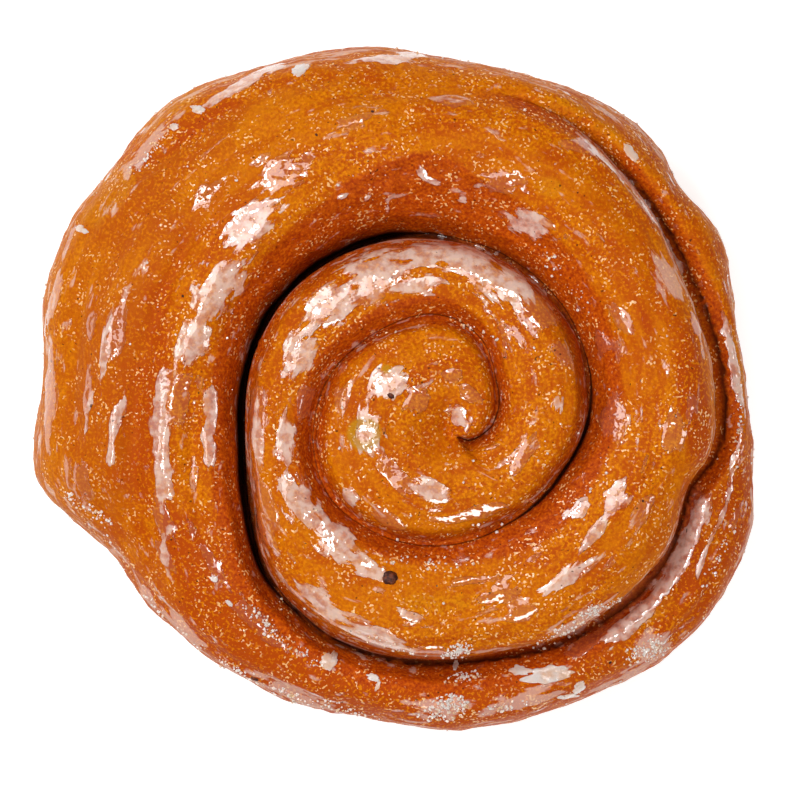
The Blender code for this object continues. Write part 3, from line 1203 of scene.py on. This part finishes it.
    def ease_seam(self, roll: bpy.types.Object) -> None:
        """Smooths the crease where the seam has baked shut or filled up.

        Args:
            roll: The roll in the making.
        """
        skin = Skin.of(roll.data)
        high_up = smooth_step(6.0, 14.0, skin.places[:, 2])
        shut = self.closed_seam(skin) * (1 - smooth_step(2.0, 6.0, skin.to_seam)) * high_up
        filled = self.filled_seam(skin) * (1 - smooth_step(1.5, 4.0, skin.to_seam)) * high_up
        for share, rounds in ((shut, 220), (filled, 120)):
            apply_by_share(roll, share, "SMOOTH", factor=0.5, iterations=rounds)

    def raise_relief(self, roll: bpy.types.Object, relief: np.ndarray, upward: bool) -> None:
        """Moves the skin out, or in, by its relief.

        Args:
            roll: The roll in the making.
            relief: How far each vertex stands out, in millimetres.
            upward: Whether to raise it, or to sink it.
        """
        way = 1 if upward else -1
        share = np.clip(way * relief / self.most_relief, 0.0, 1.0)
        apply_by_share(roll, share, "DISPLACE", 0.0, strength=way * self.most_relief * MM, mid_level=0.0)

    def thin_out(self, roll: bpy.types.Object, skin: Skin) -> None:
        """Takes faces away where the skin is flat, and sooner underneath, low down and deep in the seams.

        Args:
            roll: The roll in the making.
            skin: Its skin, as it was before the relief.
        """
        plain = (skin.normals[:, 2] < 0.05) | ((skin.to_seam < 1.2) & (skin.sunk > 4.0))
        triangles = sum(len(face.vertices) - 2 for face in roll.data.polygons)
        share = np.where(plain, self.thinning[1], self.thinning[0])
        apply_by_share(roll, share, "DECIMATE", ratio=self.most_triangles / triangles)

    def fit(self, mesh: bpy.types.Mesh) -> None:
        """Fits the skin just inside the solid's box, and sets it down flat.

        Args:
            mesh: The roll's mesh.
        """
        places = read_places(mesh)
        solid = read_places(self.core.data)
        low = solid.min(axis=0) + np.array([self.margin, self.margin, 0.0]) * MM
        high = solid.max(axis=0) - self.margin * MM
        places[:, 2] = np.maximum(places[:, 2], low[2])
        first, last = places.min(axis=0), places.max(axis=0)
        places = low + (places - first) * (high - low) / (last - first)
        mesh.vertices.foreach_set("co", places.astype(np.float32).ravel())
        mesh.update()

    def paint(self, mesh: bpy.types.Mesh, skin: Skin, glaze: np.ndarray) -> None:
        """Writes what the crust's material reads, one number for each vertex.

        Args:
            mesh: The roll's mesh.
            skin: Its skin.
            glaze: How deep inside the glaze each vertex is.
        """
        wander = self.wander.over(skin.places)
        open_seam = 1 - self.closed_seam(skin)
        width = follow(FLANK_WIDTH, skin.angle)
        flank_brown_and_shade = (1 - smooth_step(-0.5, 0.5, skin.from_inner - width - 0.5 * wander)) * (width > 0.1)
        flank_brown_and_shade *= 1 - smooth_step(*self.flank_ends, skin.angle)
        ring = self.ring.share(skin.angle)
        # Painted shade: the wall is darker red-brown within a few millimetres of an open seam, more so the
        # deeper it sinks.
        outer_flank_shade = 1 - smooth_step(0.8 + 0.3 * ring, 3.0 + 1.4 * ring, skin.to_seam + 0.8 * wander)
        outer_flank_shade *= smooth_step(0.8 - 0.5 * ring, 3.4 - 1.2 * ring, skin.sunk) * open_seam
        # Painted shade: near black at the bottom of deep open seams.
        deep = (1 - smooth_step(0.2, 1.6, skin.to_seam)) * smooth_step(7.0, 13.0, skin.sunk) * open_seam
        side = 1 - smooth_step(6.0, 20.0, skin.places[:, 2] + 3 * wander)
        side *= 1 - smooth_step(0.15, 0.55, skin.normals[:, 2])
        outer_end = self.outer_end.share(skin.angle)
        smooth = outer_end * smooth_step(12, 20, skin.from_inner + 4 * wander)
        pale_end = outer_end * smooth_step(14, 26, skin.from_inner + 4 * wander) * 0.35
        straw = np.maximum(pale_end, 0.9 * smooth_step(-0.2, 0.5, skin.pools(STRAW) + 0.4 * wander))
        # Painted shade and light: darker in the folds' valleys, lighter on their ridges.
        tone_and_shade = 0.5 + skin.drawn(self.tint) + 0.35 * wander + 0.45 * self.drawn_folds(skin)
        # Painted shade: the outer turn is darker along the roll's lower side, away from the light.
        tone_and_shade -= 0.75 * self.shaded.share(skin.angle)
        tone_and_shade += 0.7 * smooth_step(-0.3, 0.5, skin.pools(GOLDEN))
        tone_and_shade -= 1.5 * smooth_step(-0.3, 0.5, skin.pools(RUDDY))
        coarse = (0.60 - 0.10 * flank_brown_and_shade) * (1 - 0.3 * smooth) * (1 - 0.6 * side)
        painted = {
            "glaze": glaze,
            # Milky glaze, partly painted reflection of the lights.
            "milk_and_sheen": np.maximum(skin.pools(POOLS[Glazing.MILKY]), self.runs(skin)) + 0.25 * wander,
            # Frosted pools, and pale streaks along the falling rim that are partly a painted rim reflection.
            "frost_and_rim_sheen": np.maximum(skin.pools(POOLS[Glazing.FROSTED]) + 0.2 * wander, self.rim_frost_and_sheen(skin)),
            "flank_brown_and_shade": np.maximum(flank_brown_and_shade, outer_flank_shade) * 0.95,
            "deep": deep,
            "past_seam": skin.past_seam,
            "gap": follow(SEAM_GAP, skin.turns),
            "straw": straw * 0.8,
            "on_top": skin.on_top,
            "tone_and_shade": tone_and_shade,
            "side": side * 0.75,
            "foot": 1 - smooth_step(0.6, 5.0, skin.places[:, 2] + 2.0 * wander),
            "coarse": coarse * (1 + skin.drawn(self.granules)),
        }
        for name, values in painted.items():
            layer = mesh.attributes.new(name, "FLOAT", "POINT")
            layer.data.foreach_set("value", values.astype(np.float32))
        layer = mesh.attributes.new("strip", "FLOAT_VECTOR", "POINT")
        layer.data.foreach_set("vector", skin.strip.astype(np.float32).ravel())

    def rim_frost_and_sheen(self, skin: Skin) -> np.ndarray:
        """Pale streaks where the outer turn's side falls away, above 0 where they lie: partly dried glaze,
        partly a painted rim reflection.
        """
        falling = 1 - smooth_step(0.0, 0.45, np.abs(skin.normals[:, 2] - 0.15))
        return falling * (0.35 + self.frost_streaks.over(skin.strip)) - 0.35


@dataclass(frozen=True)
class FlakePlan:
    """Where one flake of dried glaze lies, and its size in millimetres."""

    at: Pixel
    long: float
    wide: float
    heading: float
    seed: float


FLAKES = each(
    FlakePlan,
    ((548, 671), 5.6, 1.9, 8, 1.0), ((519, 668), 2.4, 1.0, -6, 2.0), ((577, 685), 1.9, 1.0, 55, 3.0),
    ((566, 694), 2.2, 0.5, 4, 4.0), ((330, 658), 2.2, 1.7, 60, 5.0), ((374, 674), 1.6, 0.7, -20, 6.0),
    ((378, 682), 1.2, 0.5, 70, 7.0), ((301, 74), 2.2, 1.2, 30, 8.0), ((84, 231), 1.5, 0.8, -25, 9.0),
    ((628, 156), 2.6, 0.9, -50, 10.0), ((200, 113), 1.5, 1.0, -15, 11.0), ((177, 130), 1.0, 0.8, 0, 12.0),
    ((217, 576), 1.0, 0.7, -40, 13.0), ((232, 600), 0.9, 0.5, -40, 14.0), ((455, 663), 1.0, 0.6, 80, 16.0),
)


@dataclass
class Flakes:
    """Flakes of glaze that dried thick and cloudy, each a thin ragged sheet that follows the crust."""

    roll: bpy.types.Object
    points: int = 56
    rings: int = 6
    thickness: float = 0.28
    drop: float = 100.0

    def build(self) -> bpy.types.Object:
        """Makes all the flakes, joined into one piece.

        Returns:
            The piece.
        """
        flakes = join([self.sheet(plan) for plan in FLAKES], "glaze_flakes")
        finish_piece(flakes, DRIED_GLAZE.material())
        return flakes

    def sheet(self, plan: FlakePlan) -> bpy.types.Object:
        """Cuts one flake: a disc, inset into rings, drawn ragged, laid on the crust and thickened.

        Args:
            plan: Where it lies and its size.

        Returns:
            The flake.
        """
        bpy.ops.object.select_all(action="DESELECT")
        bpy.ops.mesh.primitive_circle_add(
            vertices=self.points, radius=1.0, fill_type="NGON", location=(0, 0, 0)
        )
        sheet = bpy.context.active_object
        bpy.ops.object.mode_set(mode="EDIT")
        bpy.ops.mesh.select_all(action="SELECT")
        for _ in range(self.rings - 1):
            bpy.ops.mesh.inset(thickness=1 / self.rings)
        bpy.ops.mesh.poke()
        bpy.ops.object.mode_set(mode="OBJECT")
        x, y = PICTURE.plan(plan.at)
        turn = math.radians(plan.heading)
        for vertex in sheet.data.vertices:
            vertex.co = self.ragged(vertex.co, plan, turn)
            vertex.co += Vector((x, y, self.drop * MM))
        apply(
            sheet, "SHRINKWRAP", target=self.roll, wrap_method="PROJECT", use_project_z=True,
            use_negative_direction=True, use_positive_direction=False, offset=0.0,
        )
        apply(sheet, "SOLIDIFY", thickness=self.thickness * MM, offset=0.2, use_rim=True)
        apply(sheet, "SUBSURF", levels=1, render_levels=1)
        return sheet

    def ragged(self, place: Vector, plan: FlakePlan, turn: float) -> Vector:
        """A point of the round disc, moved to where it lies on the ragged flake.

        Args:
            place: The point of the disc.
            plan: The flake's size.
            turn: Its heading, in radians.

        Returns:
            The point of the flake, about the flake's middle, in metres.
        """
        reach = 0.78 + 0.34 * noise.noise(Vector((place.x * 1.3, place.y * 1.3, plan.seed)))
        reach += 0.26 * noise.noise(Vector((place.x * 3.6, place.y * 3.6, plan.seed + 20)))
        flat = Vector((place.x * plan.long, place.y * plan.wide, 0)) * reach * MM
        return Matrix.Rotation(turn, 3, "Z") @ flat


@dataclass(frozen=True)
class Drift:
    """A patch where crystals gathered: its middle, half its size, its heading, and how many lie there."""

    at: Pixel
    long: float
    wide: float
    heading: float
    count: int


DRIFTS = each(
    Drift,
    ((152, 604), 3.0, 1.4, -45, 45), ((168, 624), 3.0, 1.5, -42, 45), ((196, 646), 4.0, 1.6, -38, 40),
    ((240, 668), 4.5, 1.4, -30, 40), ((290, 692), 5.0, 1.5, -25, 60), ((330, 704), 5.0, 1.5, -15, 45),
    ((356, 712), 4.5, 1.0, -10, 35), ((448, 704), 3.6, 2.4, 10, 190), ((462, 674), 3.6, 0.9, 8, 60),
    ((432, 712), 3.0, 1.2, 0, 40), ((500, 704), 5.0, 1.0, 10, 45), ((590, 608), 4.0, 1.3, 25, 90),
    ((560, 630), 4.6, 1.5, 22, 120), ((540, 642), 3.0, 1.0, 15, 40), ((614, 600), 2.4, 1.0, 30, 35),
    ((456, 647), 3.0, 1.3, 20, 120), ((420, 655), 3.4, 1.0, -10, 60), ((652, 646), 3.2, 2.2, 40, 110),
    ((632, 652), 2.6, 1.6, 30, 40), ((76, 498), 1.8, 1.2, -40, 22), ((102, 514), 3.4, 1.4, -40, 30),
    ((108, 536), 1.6, 0.8, -50, 14), ((268, 622), 6.0, 1.4, -45, 60), ((300, 648), 5.0, 1.2, -35, 45),
    ((280, 590), 4.0, 1.2, -55, 22), ((150, 160), 6.0, 1.2, 48, 40), ((385, 642), 5.0, 2.0, -12, 30),
    ((545, 262), 4.0, 1.6, -55, 20), ((575, 300), 4.0, 1.4, -65, 14), ((594, 470), 6.0, 1.6, 70, 12),
    ((430, 560), 9.0, 1.4, -5, 40), ((715, 560), 7.0, 1.2, 62, 35), ((736, 420), 9.0, 1.0, 88, 30),
    ((470, 330), 5.0, 0.8, -25, 22), ((240, 300), 12.0, 5.0, 50, 12), ((450, 425), 20.0, 20.0, 0, 22),
    ((400, 390), 58.0, 52.0, 0, 90),
)


@dataclass
class Crystals:
    """Sugar crystals, one bevelled block copied many times, half sunk in the glaze."""

    roll: bpy.types.Object
    box: tuple[Vector, Vector]
    sizes: tuple[float, float] = (0.15, 0.46)
    side_count: int = 300
    side_heights: tuple[float, float] = (2.0, 26.0)
    seed: int = 7

    def build(self) -> bpy.types.Object:
        """Makes all the crystals, joined into one piece.

        Returns:
            The piece.
        """
        rng = random.Random(self.seed)
        block = self.block()
        corners = read_places(block.data)
        faces = [tuple(face.vertices) for face in block.data.polygons]
        bpy.data.objects.remove(block)
        surface = Surface(self.roll)
        places, rings = [], []
        for spot, normal in self.spots(rng, surface):
            size = self.sizes[0] + (self.sizes[1] - self.sizes[0]) * rng.random() ** 2
            shape = Vector([size * rng.uniform(0.7, 1.3) for _ in range(3)]) * MM
            turn = Euler([rng.uniform(0, math.tau) for _ in range(3)]).to_matrix()
            moved = corners * np.array(shape) @ np.array(turn).T + np.array(spot + normal * 0.2 * size * MM)
            if (moved < np.array(self.box[0])).any() or (moved > np.array(self.box[1])).any():
                continue
            rings += [tuple(index + len(places) * len(corners) for index in face) for face in faces]
            places.append(moved)
        mesh = bpy.data.meshes.new("sugar_crystals")
        mesh.from_pydata(np.concatenate(places).tolist(), [], rings)
        crystals = bpy.data.objects.new("sugar_crystals", mesh)
        bpy.context.scene.collection.objects.link(crystals)
        finish_piece(crystals, SUGAR.material())
        return crystals

    def block(self) -> bpy.types.Object:
        """One crystal: a cube with its edges cut off.

        Returns:
            The crystal, 1 metre long.
        """
        bpy.ops.object.select_all(action="DESELECT")
        bpy.ops.mesh.primitive_cube_add(size=1.0, location=(0, 0, 0))
        block = bpy.context.active_object
        apply(block, "BEVEL", width=0.16, segments=1)
        return block

    def spots(self, rng: random.Random, surface: "Surface") -> list[tuple[Vector, Vector]]:
        """Where the crystals lie, and which way the crust faces there.

        Args:
            rng: The source of chance.
            surface: The crust.

        Returns:
            A place and a normal for each.
        """
        found = []
        for drift in DRIFTS:
            heading = math.radians(drift.heading)
            x, y = PICTURE.plan(drift.at)
            for _ in range(drift.count):
                reach, around = rng.random() ** 0.75, rng.uniform(0, math.tau)
                lengthwise = reach * math.cos(around) * drift.long * MM
                sideways = reach * math.sin(around) * drift.wide * MM
                found.append(surface.under(
                    x + lengthwise * math.cos(heading) - sideways * math.sin(heading),
                    y + lengthwise * math.sin(heading) + sideways * math.cos(heading),
                ))
        for _ in range(self.side_count):
            low, high = self.side_heights
            found.append(surface.beside(rng.uniform(0, math.tau), rng.uniform(low, high) * MM))
        return [spot for spot in found if spot is not None]


class Surface:
    """The finished crust, for laying small things on it."""

    def __init__(self, roll: bpy.types.Object) -> None:
        """Reads the crust's mesh.

        Args:
            roll: The finished roll.
        """
        self.tree = BVHTree.FromObject(roll, bpy.context.evaluated_depsgraph_get())
        self.far = 0.2
        self.gap = 0.8 * MM
        self.step = 2.0 * MM

    def under(self, x: float, y: float) -> tuple[Vector, Vector] | None:
        """The crust's top below a place.

        Args:
            x: The place across, in metres.
            y: The place up the picture, in metres.

        Returns:
            The point and its normal, or nothing in the seam's gap or past the edge.
        """
        down = Vector((0, 0, -1))
        place, normal, _, _ = self.tree.ray_cast(Vector((x, y, self.far)), down)
        if place is None:
            return None
        for aside in (-self.gap, self.gap):
            for start in (Vector((x + aside, y, self.far)), Vector((x, y + aside, self.far))):
                beside = self.tree.ray_cast(start, down)[0]
                if beside is not None and beside.z - place.z > self.step:
                    return None
        return place, normal

    def beside(self, around: float, height: float) -> tuple[Vector, Vector] | None:
        """The crust's side in a direction, seen from outside at a height.

        Args:
            around: The direction, in radians.
            height: The height, in metres.

        Returns:
            The point and its normal.
        """
        out = Vector((math.cos(around), math.sin(around), 0))
        place, normal, _, _ = self.tree.ray_cast(out * self.far + Vector((0, 0, height)), -out)
        return None if place is None else (place, normal)


@dataclass(frozen=True)
class SpeckPlan:
    """Where a dark speck lies and its size in millimetres."""

    at: Pixel
    size: tuple[float, float, float]
    seed: float


SPECKS = each(
    SpeckPlan,
    ((390, 574), (1.30, 1.15, 0.5), 1.0), ((391, 396), (0.62, 0.42, 0.3), 2.0),
    ((256, 676), (0.7, 0.4, 0.35), 3.0), ((373, 117), (0.3, 0.25, 0.2), 4.0),
    ((318, 140), (0.28, 0.22, 0.2), 5.0), ((187, 298), (0.25, 0.2, 0.2), 6.0),
    ((638, 499), (0.22, 0.2, 0.2), 7.0), ((608, 660), (0.3, 0.2, 0.2), 8.0),
)


@dataclass
class Specks:
    """Burnt sugar and spice on the crust, each a knobbly bead sunk in the glaze."""

    roll: bpy.types.Object

    def build(self) -> bpy.types.Object:
        """Makes all the specks, joined into one piece.

        Returns:
            The piece.
        """
        surface = Surface(self.roll)
        specks = join([self.bead(plan, surface) for plan in SPECKS], "spice_specks")
        finish_piece(specks, SPICE.material())
        return specks

    def bead(self, plan: SpeckPlan, surface: Surface) -> bpy.types.Object:
        """Rolls one bead: a ball, made knobbly, flattened and laid on the crust.

        Args:
            plan: Where it lies and its size.
            surface: The crust.

        Returns:
            The bead.
        """
        bpy.ops.object.select_all(action="DESELECT")
        bpy.ops.mesh.primitive_ico_sphere_add(subdivisions=4, radius=1.0, location=(0, 0, 0))
        bead = bpy.context.active_object
        place, normal = surface.under(*PICTURE.plan(plan.at))
        stand = normal.to_track_quat("Z", "Y").to_matrix()
        for vertex in bead.data.vertices:
            knob = 1 + 0.22 * noise.noise(vertex.co * 1.6 + Vector((0, 0, plan.seed)))
            knob += 0.10 * noise.noise(vertex.co * 4.0 + Vector((0, 0, plan.seed)))
            vertex.co = stand @ (vertex.co * knob * Vector(plan.size) * MM) + place
        return bead


@dataclass(frozen=True)
class SoftLight:
    """A square soft light that faces the roll: its place and side in metres, and how bright it shines."""

    name: str
    place: tuple[float, float, float]
    side: float
    radiance: float


LIGHTS = each(
    SoftLight,
    ("overhead_panel", (-0.30, 0.24, 1.58), 0.75, 2.9),
    ("key_lamp", (-0.50, 0.42, 1.38), 0.24, 21.0),
    ("right_lamp", (0.30, 0.42, 1.50), 0.24, 15.0),
    ("left_lamp", (-0.46, -0.34, 1.45), 0.24, 13.0),
    ("high_softbox", (-0.90, 0.75, 1.15), 0.60, 4.5),
    ("low_lamp", (-1.00, 0.84, 0.80), 0.24, 11.0),
    ("front_softbox", (0.20, -0.95, 1.20), 0.50, 9.0),
    ("left_fill", (-1.05, 0.10, 0.95), 0.40, 4.0),
    ("right_fill", (1.10, -0.20, 0.85), 0.36, 5.0),
)


@dataclass
class Studio:
    """The floor, the lights and the camera, framed for a height on the roll. Lengths are in metres."""

    camera_height: float = 1.2
    framed_height: float = 0.017
    sensor_mm: float = 36.0
    floor_side: float = 8.0
    floor_colour: Colour = (0.62, 0.62, 0.62)
    floor_glow: float = 0.7
    world_colour: Colour = (1.0, 1.0, 1.0)
    world_strength: float = 0.04

    def build(self) -> None:
        """Sets up everything round the roll."""
        self.floor()
        for light in LIGHTS:
            self.light(light)
        self.world()
        self.camera()
        bpy.context.scene.view_settings.view_transform = "Standard"

    def floor(self) -> None:
        """A plain pale floor under the roll."""
        bpy.ops.object.select_all(action="DESELECT")
        bpy.ops.mesh.primitive_plane_add(size=self.floor_side, location=(0, 0, 0))
        floor = bpy.context.active_object
        floor.name = "floor"
        recipe = Recipe("pale_floor")
        recipe.set(
            base_color=self.floor_colour,
            roughness=0.9,
            specular_ior_level=0.0,
            emission_color=(1.0, 1.0, 1.0),
            emission_strength=self.floor_glow,
        )
        floor.data.materials.append(recipe.material)
        floor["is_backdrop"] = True

    def light(self, plan: SoftLight) -> None:
        """Hangs one light, facing the roll.

        Args:
            plan: Its place, size and brightness.
        """
        lamp = bpy.data.lights.new(plan.name, "AREA")
        lamp.shape = "SQUARE"
        lamp.size = plan.side
        lamp.energy = plan.radiance * math.pi * plan.side**2
        holder = bpy.data.objects.new(plan.name, lamp)
        holder.location = plan.place
        holder.rotation_euler = (-Vector(plan.place)).to_track_quat("-Z", "Y").to_euler()
        holder.visible_camera = False
        bpy.context.scene.collection.objects.link(holder)

    def world(self) -> None:
        """A faint even light from all round."""
        world = bpy.data.worlds.new("studio")
        world.use_nodes = True
        background = world.node_tree.nodes["Background"]
        background.inputs["Color"].default_value = (*self.world_colour, 1.0)
        background.inputs["Strength"].default_value = self.world_strength
        bpy.context.scene.world = world

    def camera(self) -> None:
        """A camera straight above, framed as the picture is."""
        camera = bpy.data.cameras.new("camera")
        camera.sensor_width = self.sensor_mm
        camera.lens = self.sensor_mm * (self.camera_height - self.framed_height) / PICTURE.span()
        camera.clip_start = 0.01
        middle = PICTURE.side / 2
        x, y = PICTURE.plan((middle, middle))
        holder = bpy.data.objects.new("camera", camera)
        holder.location = (x, y, self.camera_height)
        bpy.context.scene.collection.objects.link(holder)
        bpy.context.scene.camera = holder


def main() -> None:
    """Builds the roll, what lies on it and the studio."""
    logging.basicConfig(level=logging.INFO, format="%(name)s: %(message)s")
    for old in list(bpy.data.objects):
        bpy.data.objects.remove(old)
    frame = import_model()
    solid_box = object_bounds()
    roll = Crust(frame["nodes"][NODE]).build()
    Flakes(roll).build()
    Crystals(roll, solid_box).build()
    Specks(roll).build()
    Studio().build()


if __name__ == "__main__":
    main()
